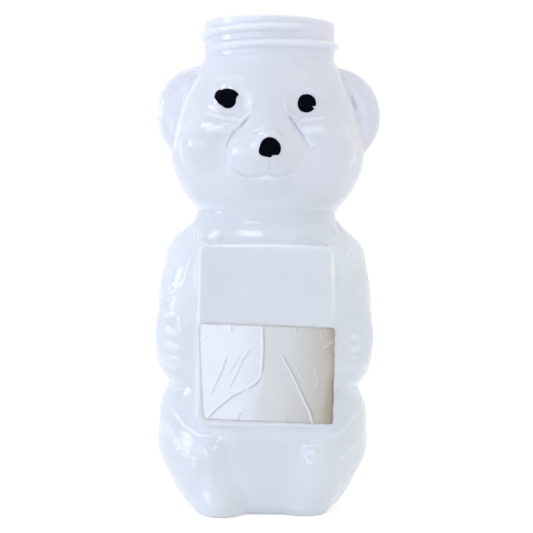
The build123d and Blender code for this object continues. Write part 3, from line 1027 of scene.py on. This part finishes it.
def label_places(s, t):
    """Columns and rows of the label's grid in the photograph."""
    left = np.array(LABEL_LEFT)
    right = np.array(LABEL_RIGHT)
    tall = left[-1, 1] - left[0, 1]
    stops = (left[:, 1] - left[0, 1]) / tall
    from_end = np.minimum(t, 1 - t) * tall
    shuffle = np.random.default_rng(11)
    start = np.interp(t, stops, left[:, 0]) + corner_inset(from_end, CORNER_LEFT)
    end = np.interp(t, stops, right[:, 0]) - corner_inset(from_end, CORNER_RIGHT)
    start += ragged(t, RAGS_DOWN, 0.25, shuffle)
    end += ragged(t, RAGS_DOWN, 0.35, shuffle)
    top = left[0, 1] + (right[0, 1] - left[0, 1]) * s + ragged(s, RAGS_ACROSS, 0.3, shuffle)
    foot = left[-1, 1] + (right[-1, 1] - left[-1, 1]) * s + ragged(s, RAGS_ACROSS, 0.35, shuffle)
    column = start[:, None] + (end - start)[:, None] * s
    row = top + (foot - top) * t[:, None]
    return column.ravel(), row.ravel()


def creases(column, row):
    """How far the label's creases lift it, where they get a painted highlight, and where painted shade lies
    beside them.
    """
    lift, crease_highlight, shade = np.zeros((3, len(column)))
    for line, half_width, peak in LABEL_CREASES:
        off, share = line_distance(column, row, line)
        off = off * LABEL_PIXEL / half_width
        fade = fade_in(share, CREASE_FADE)
        lift += peak * np.exp(-(off**CREASE_POWER)) * (0.5 + 0.5 * fade)
        crease_highlight = np.maximum(crease_highlight, np.exp(-(off**2)) * min(1, peak / FOLD_PEAK) * fade)
        beside, share = line_distance(column - SHADE_OFFSET, row, line)
        beside = np.exp(-((beside * LABEL_PIXEL / half_width / SHADE_SPREAD) ** 2))
        shade = np.maximum(shade, beside * min(1, peak / SHADE_PEAK) * fade)
    return lift, crease_highlight, shade


def paper_label():
    """A crumpled paper label, closed, stuck to the front panel and creased where its paper folded."""
    down, across = LABEL_GRID
    t = np.linspace(0, 1, down)
    s = np.linspace(0, 1, across)
    column, row = label_places(s, t)
    points = onto_shell(column, row)
    normals = unit_rows(gradient(form, points))
    deepest = (CAMERA_DISTANCE + LABEL_BACK) / (CAMERA_DISTANCE + points[:, 1])
    points = EYE + (points - EYE) * np.minimum(deepest, 1)[:, None]
    lift, crease_highlight, shade = creases(column, row)
    wave = np.sin(column * 0.23 + 1.1) * np.sin(row * 0.19 + 0.4) + 0.6 * np.sin(column * 0.41 - row * 0.33)
    lift = np.maximum(lift + LABEL_WAVE * wave, LABEL_DIP)
    over = points + normals * (LABEL_THICKNESS + lift)[:, None]
    under = points - normals * LABEL_SUNK
    grid = np.arange(down * across).reshape(down, across)
    a, b, c, d = (part.ravel() for part in (grid[:-1, :-1], grid[:-1, 1:], grid[1:, 1:], grid[1:, :-1]))
    total = len(points)
    border = np.concatenate([grid[0, :-1], grid[:-1, -1], grid[-1, :0:-1], grid[:0:-1, 0]])
    following = np.roll(border, -1)
    faces = [
        np.stack([a, d, c, b], 1),
        np.stack([a, b, c, d], 1) + total,
        np.stack([border, following, following + total, border + total], 1),
    ]
    made = mesh_object("paper_label", np.concatenate([over, under]), np.concatenate(faces))
    from_side = np.minimum(s, 1 - s) * LABEL_WIDTH
    from_end = np.minimum(t, 1 - t) * LABEL_HEIGHT
    inside = np.minimum(from_side, from_end[:, None]) * LABEL_PIXEL
    drawn = np.interp(row, *TINT_DRAWN)
    # Painted highlight along the creases and painted shade beside them
    attribute(made, "crease_highlight", np.tile(crease_highlight, 2))
    attribute(made, "shade", np.tile(shade, 2))
    attribute(made, "edge", np.tile(np.clip(1 - inside.ravel() / DARK_EDGE_WIDTH, 0, 1), 2))
    attribute(made, "side", np.tile((column + drawn - TINT_COLUMN) / TINT_COLUMNS, 2))
    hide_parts("label")
    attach(made, "root")
    return made


def attribute(made, name, values):
    """A number at each point of the mesh, for its material."""
    layer = made.data.attributes.new(name, "FLOAT", "POINT")
    layer.data.foreach_set("value", np.asarray(values, np.float32))


# Painted shade, painted highlight, dark speckle and painted light in folds, for the plastic's material
for tone_name, tone in zip(("painted_crease_shade", "painted_highlight", "dark_speckle", "painted_fold_glow"), shell_tones):
    attribute(shell, tone_name, tone)
left_spot = paint_film("eye_paint_smeared", "right_eye_paint", LEFT_SPOT, 21)
right_spot = paint_film("eye_paint_round", "left_eye_paint", RIGHT_SPOT, 22)
nose_spot = paint_film("nose_paint_spot", "nose_paint", NOSE_SPOT, 23)
label = paper_label()

# Materials


def material(name):
    """A new material, its nodes and its Principled shader."""
    made = bpy.data.materials.new(name)
    made.use_nodes = True
    return made, made.node_tree, made.node_tree.nodes["Principled BSDF"]


def linear(red, green, blue):
    """A colour given in 0 to 255 as the screen shows it, turned into linear values."""
    values = [c / 255 for c in (red, green, blue)]
    return tuple(c / 12.92 if c <= 0.04045 else ((c + 0.055) / 1.055) ** 2.4 for c in values) + (1.0,)


def grey(level):
    """A grey between 0 and 1."""
    return (level, level, level, 1.0)


def fill(tree, made, inputs):
    """Sets a node's inputs, each to a value or to another node's output."""
    for name, given in inputs.items():
        if isinstance(given, bpy.types.NodeSocket):
            tree.links.new(given, made.inputs[name])
        else:
            made.inputs[name].default_value = given


def node(tree, kind, inputs):
    """A new shader node with its inputs set."""
    made = tree.nodes.new("ShaderNode" + kind)
    fill(tree, made, inputs)
    return made


def noise(tree, scale, detail, roughness=0.5):
    """Noise in object coordinates, with features of about 1 / scale metres."""
    place = node(tree, "TexCoord", {}).outputs["Object"]
    given = {"Vector": place, "Scale": scale, "Detail": detail, "Roughness": roughness}
    return node(tree, "TexNoise", given).outputs["Fac"]


def ramp(tree, factor, stops):
    """A colour ramp. stops are (position, colour)."""
    made = node(tree, "ValToRGB", {"Fac": factor})
    band = made.color_ramp
    while len(band.elements) < len(stops):
        band.elements.new(0.5)
    for element, (position, colour) in zip(band.elements, stops):
        element.position = position
        element.color = colour
    return made.outputs["Color"]


def spread(tree, factor, low, high, start=0.0, end=1.0):
    """The factor from start to end spread over low to high."""
    given = {"Value": factor, "From Min": start, "From Max": end, "To Min": low, "To Max": high}
    return node(tree, "MapRange", given).outputs["Result"]


def coordinate(tree, place, axis):
    """One of the three numbers of a texture coordinate."""
    whole = node(tree, "TexCoord", {}).outputs[place]
    return node(tree, "SeparateXYZ", {0: whole}).outputs[axis]


def by_height(tree, start, end, low, high):
    """A number that goes smoothly from low to high between two heights in metres."""
    result = spread(tree, coordinate(tree, "Object", "Z"), low, high, start, end)
    result.node.interpolation_type = "SMOOTHERSTEP"
    return result


def bump(tree, height, strength, distance):
    """The normals of a bump of the given height in metres."""
    given = {"Height": height, "Strength": strength, "Distance": distance}
    return node(tree, "Bump", given).outputs["Normal"]


def value(tree, name):
    """The mesh's own number of that name."""
    made = node(tree, "Attribute", {})
    made.attribute_name = name
    return made.outputs["Fac"]


def mixed(tree, factor, first, second, mode="MIX"):
    """Two colours mixed. Each is a colour or a node's output."""
    made = node(tree, "Mix", {})
    made.data_type = "RGBA"
    made.blend_type = mode
    fill(tree, made, {0: factor, 6: first, 7: second})
    return made.outputs[2]


def worked(tree, first, second, operation):
    """Two numbers worked together and kept from 0 to 1. Each is a number or a node's output."""
    made = node(tree, "Math", {0: first, 1: second})
    made.operation = operation
    made.use_clamp = True
    return made.outputs[0]


def product(tree, first, second):
    """Two numbers multiplied."""
    return worked(tree, first, second, "MULTIPLY")

# Heights in metres between which the head's tint comes in, and the scuffs of the foot go out
HEAD_TINT = (0.074, 0.092)
FOOT_SCUFFS = (0.003, 0.03)


def milky_plastic():
    """Natural polyethylene: milky, faintly blue, a little pinker in the head, and softly glossy, with
    painted light in folds, painted highlights and painted shade.
    """
    made, tree, shader = material("milky_polyethylene")
    colour = ramp(tree, noise(tree, 60, 3), [(0.3, linear(216, 220, 226)), (0.7, linear(222, 225, 231))])
    # Painted light: lighter in folds and in the neck
    colour = mixed(tree, value(tree, "painted_fold_glow"), colour, linear(236, 239, 248))
    head = by_height(tree, *HEAD_TINT, 0.0, 1.0)
    colour = mixed(tree, head, colour, (0.988, 0.963, 0.976, 1), "MULTIPLY")
    # Painted highlights on raised lines and bright edges
    colour = mixed(tree, product(tree, value(tree, "painted_highlight"), 0.8), colour, linear(252, 253, 255))
    # Painted shade: darker lines in the grooves and creases, broken by noise
    broken = spread(tree, noise(tree, 1300, 3, 0.7), -0.2, 1.5)
    colour = mixed(tree, product(tree, value(tree, "painted_crease_shade"), broken), colour, linear(150, 153, 170))
    # Dark speckles along the lines above the front panel
    flecks = ramp(tree, noise(tree, 2600, 3, 0.7), [(0.5, grey(0)), (0.6, grey(1))])
    flecks = product(tree, value(tree, "dark_speckle"), flecks)
    colour = mixed(tree, product(tree, flecks, 0.35), colour, linear(140, 142, 150))
    rough = spread(tree, noise(tree, 260, 5, 0.6), 0.04, 0.18)
    scuffed = by_height(tree, *FOOT_SCUFFS, 0.09, 0.0)
    finish = {
        "Base Color": colour,
        "Subsurface Weight": 1.0,
        "Subsurface Radius": (1.0, 1.0, 0.85),
        "Subsurface Scale": 0.0012,
        "IOR": 1.5,
        "Roughness": worked(tree, rough, scuffed, "ADD"),
        "Specular IOR Level": 0.86,
        "Normal": bump(tree, noise(tree, 420, 5), 0.2, 0.00014),
    }
    fill(tree, shader, finish)
    return made


def black_paint():
    """Thin black paint dabbed on by hand, a little uneven in gloss."""
    made, tree, shader = material("black_paint")
    colours = [(0.35, linear(3, 3, 12)), (0.75, linear(8, 7, 20))]
    finish = {
        "Base Color": ramp(tree, noise(tree, 700, 4), colours),
        "Roughness": spread(tree, noise(tree, 1500, 3), 0.3, 0.6),
        "Specular IOR Level": 0.02,
        "Normal": bump(tree, noise(tree, 2600, 4), 0.4, 0.00005),
    }
    fill(tree, shader, finish)
    return made


def old_paper():
    """White paper, greyer and browner to the right, darker along its edges, with painted highlights on its
    creases and painted shade beside them.
    """
    made, tree, shader = material("old_paper")
    blotches = spread(tree, noise(tree, 130, 4, 0.6), -0.05, 0.05)
    stops = [
        (0.05, linear(240, 240, 251)),
        (0.3, linear(237, 237, 247)),
        (0.45, linear(229, 229, 237)),
        (0.49, linear(220, 221, 222)),
        (0.66, linear(216, 216, 216)),
        (0.84, linear(204, 201, 197)),
        (0.94, linear(196, 190, 180)),
        (1.0, linear(174, 165, 150)),
    ]
    paper = ramp(tree, worked(tree, value(tree, "side"), blotches, "ADD"), stops)
    fibres = ramp(tree, noise(tree, 2600, 5, 0.7), [(0.3, grey(0.9)), (0.7, grey(1))])
    paper = mixed(tree, 0.6, paper, fibres, "MULTIPLY")
    # Darker along the edges, unevenly
    edge_darkening = product(tree, value(tree, "edge"), spread(tree, noise(tree, 300, 3), 0.1, 0.9))
    paper = mixed(tree, edge_darkening, paper, linear(168, 162, 154))
    # Painted highlight along the creases
    paper = mixed(tree, product(tree, value(tree, "crease_highlight"), 0.7), paper, linear(250, 250, 253))
    # Painted shade beside the creases
    paper = mixed(tree, product(tree, value(tree, "shade"), 0.55), paper, linear(150, 148, 152))
    finish = {
        "Base Color": paper,
        "Roughness": 0.72,
        "Specular IOR Level": 0.3,
        "Normal": bump(tree, noise(tree, 2200, 5, 0.65), 0.5, 0.00008),
    }
    fill(tree, shader, finish)
    return made


shell.data.materials.append(milky_plastic())
paint_material = black_paint()
for spot in (left_spot, right_spot, nose_spot):
    spot.data.materials.append(paint_material)
label.data.materials.append(old_paper())
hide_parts("bottle_shell")
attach(shell, "root")

# Stage

FLOOR_HALF = 60000
WINDOW_TINTS = [
    (0.0, (0.74, 0.84, 0.99, 1.0)),
    (0.35, (0.86, 0.915, 0.995, 1.0)),
    (0.55, (0.955, 0.965, 0.97, 1.0)),
    (1.0, (0.93, 0.93, 0.9, 1.0)),
]

# Lamps: place, aim, width, height, watts and colour
LAMPS = {
    "window": ((-600, -110, 205), (0, 0, 80), 190, 240, 0.41, (0.78, 0.86, 1.0)),
    "room": ((-660, -660, 190), (0, 0, 50), 800, 560, 1.02, (0.74, 0.85, 1.0)),
    "sky": ((-80, -190, 600), (0, -20, 90), 150, 110, 0.14, (0.94, 0.97, 1.0)),
    "ceiling": ((-250, 100, 640), (0, 0, 90), 140, 140, 0.15, (0.97, 0.98, 1.0)),
}


def by_ray(tree, indirect, direct, output):
    """One shader for what the camera, a mirror or a clear body shows, and another for all other rays."""
    path = node(tree, "LightPath", {}).outputs
    seen = worked(tree, path["Is Camera Ray"], path["Is Glossy Ray"], "MAXIMUM")
    seen = worked(tree, seen, path["Is Transmission Ray"], "MAXIMUM")
    mix = node(tree, "MixShader", {0: seen, 1: indirect.outputs[0], 2: direct.outputs[0]})
    fill(tree, tree.nodes[output], {"Surface": mix.outputs[0]})


def stage_floor():
    """A plain white floor that fades into the white world and keeps the bottle's shadow."""
    made, tree, shader = material("white_floor")
    tree.nodes.remove(shader)
    faint = node(tree, "BsdfDiffuse", {"Color": grey(0.4)})
    glow = node(tree, "Emission", {"Strength": 0.72})
    seen = node(tree, "AddShader", {0: faint.outputs[0], 1: glow.outputs[0]})
    by_ray(tree, node(tree, "BsdfDiffuse", {"Color": grey(0.94)}), seen, "Material Output")
    half = FLOOR_HALF
    corners = [(-half, -half, 0), (half, -half, 0), (half, half, 0), (-half, half, 0)]
    floor = mesh_object("floor", corners, [(0, 1, 2, 3)])
    floor.data.materials.append(made)


def white_world():
    """A white world for the camera that lights the bottle at a plain level."""
    world = bpy.data.worlds.new("white_world")
    bpy.context.scene.world = world
    world.use_nodes = True
    tree = world.node_tree
    across = spread(tree, coordinate(tree, "Generated", "X"), 0.0, 1.0, -1.0, 1.0)
    light = tree.nodes["Background"]
    fill(tree, light, {"Color": ramp(tree, across, WINDOW_TINTS), "Strength": 1.0})
    by_ray(tree, light, node(tree, "Background", {"Color": grey(1), "Strength": 1.0}), "World Output")


def area_light(name, place, aim, width, height, watts, colour):
    """A soft rectangular lamp that faces its aim."""
    data = bpy.data.lights.new(name, "AREA")
    data.shape = "RECTANGLE"
    data.size = width * METRES
    data.size_y = height * METRES
    data.energy = watts
    data.color = colour
    lamp = bpy.data.objects.new(name, data)
    lamp.location = Vector(place) * METRES
    lamp.rotation_euler = (Vector(aim) - Vector(place)).to_track_quat("-Z", "Y").to_euler()
    bpy.context.scene.collection.objects.link(lamp)


def camera():
    """The photograph's camera: level with the bear's chest, a little aimed down and turned."""
    data = bpy.data.cameras.new("camera")
    data.sensor_width = 36.0
    data.lens = data.sensor_width * FOCAL_PIXELS / FRAME_PIXELS
    data.clip_start = 0.01
    made = bpy.data.objects.new("camera", data)
    centre = FRAME_PIXELS / 2
    down = atan2(centre - HORIZON_ROW, FOCAL_PIXELS)
    aside = atan2(centre - AXIS_COLUMN, FOCAL_PIXELS)
    level = Matrix.Rotation(pi / 2 - down, 4, "X")
    turned = Matrix.Rotation(-aside, 4, "Z") @ level @ Matrix.Rotation(LEAN, 4, "Z")
    made.matrix_world = Matrix.Translation((0, -CAMERA_DISTANCE * METRES, CAMERA_HEIGHT * METRES)) @ turned
    bpy.context.scene.collection.objects.link(made)
    bpy.context.scene.camera = made


stage_floor()
white_world()
for lamp_name, lamp in LAMPS.items():
    area_light(lamp_name, *lamp)
camera()

bpy.context.scene.view_settings.view_transform = "Standard"
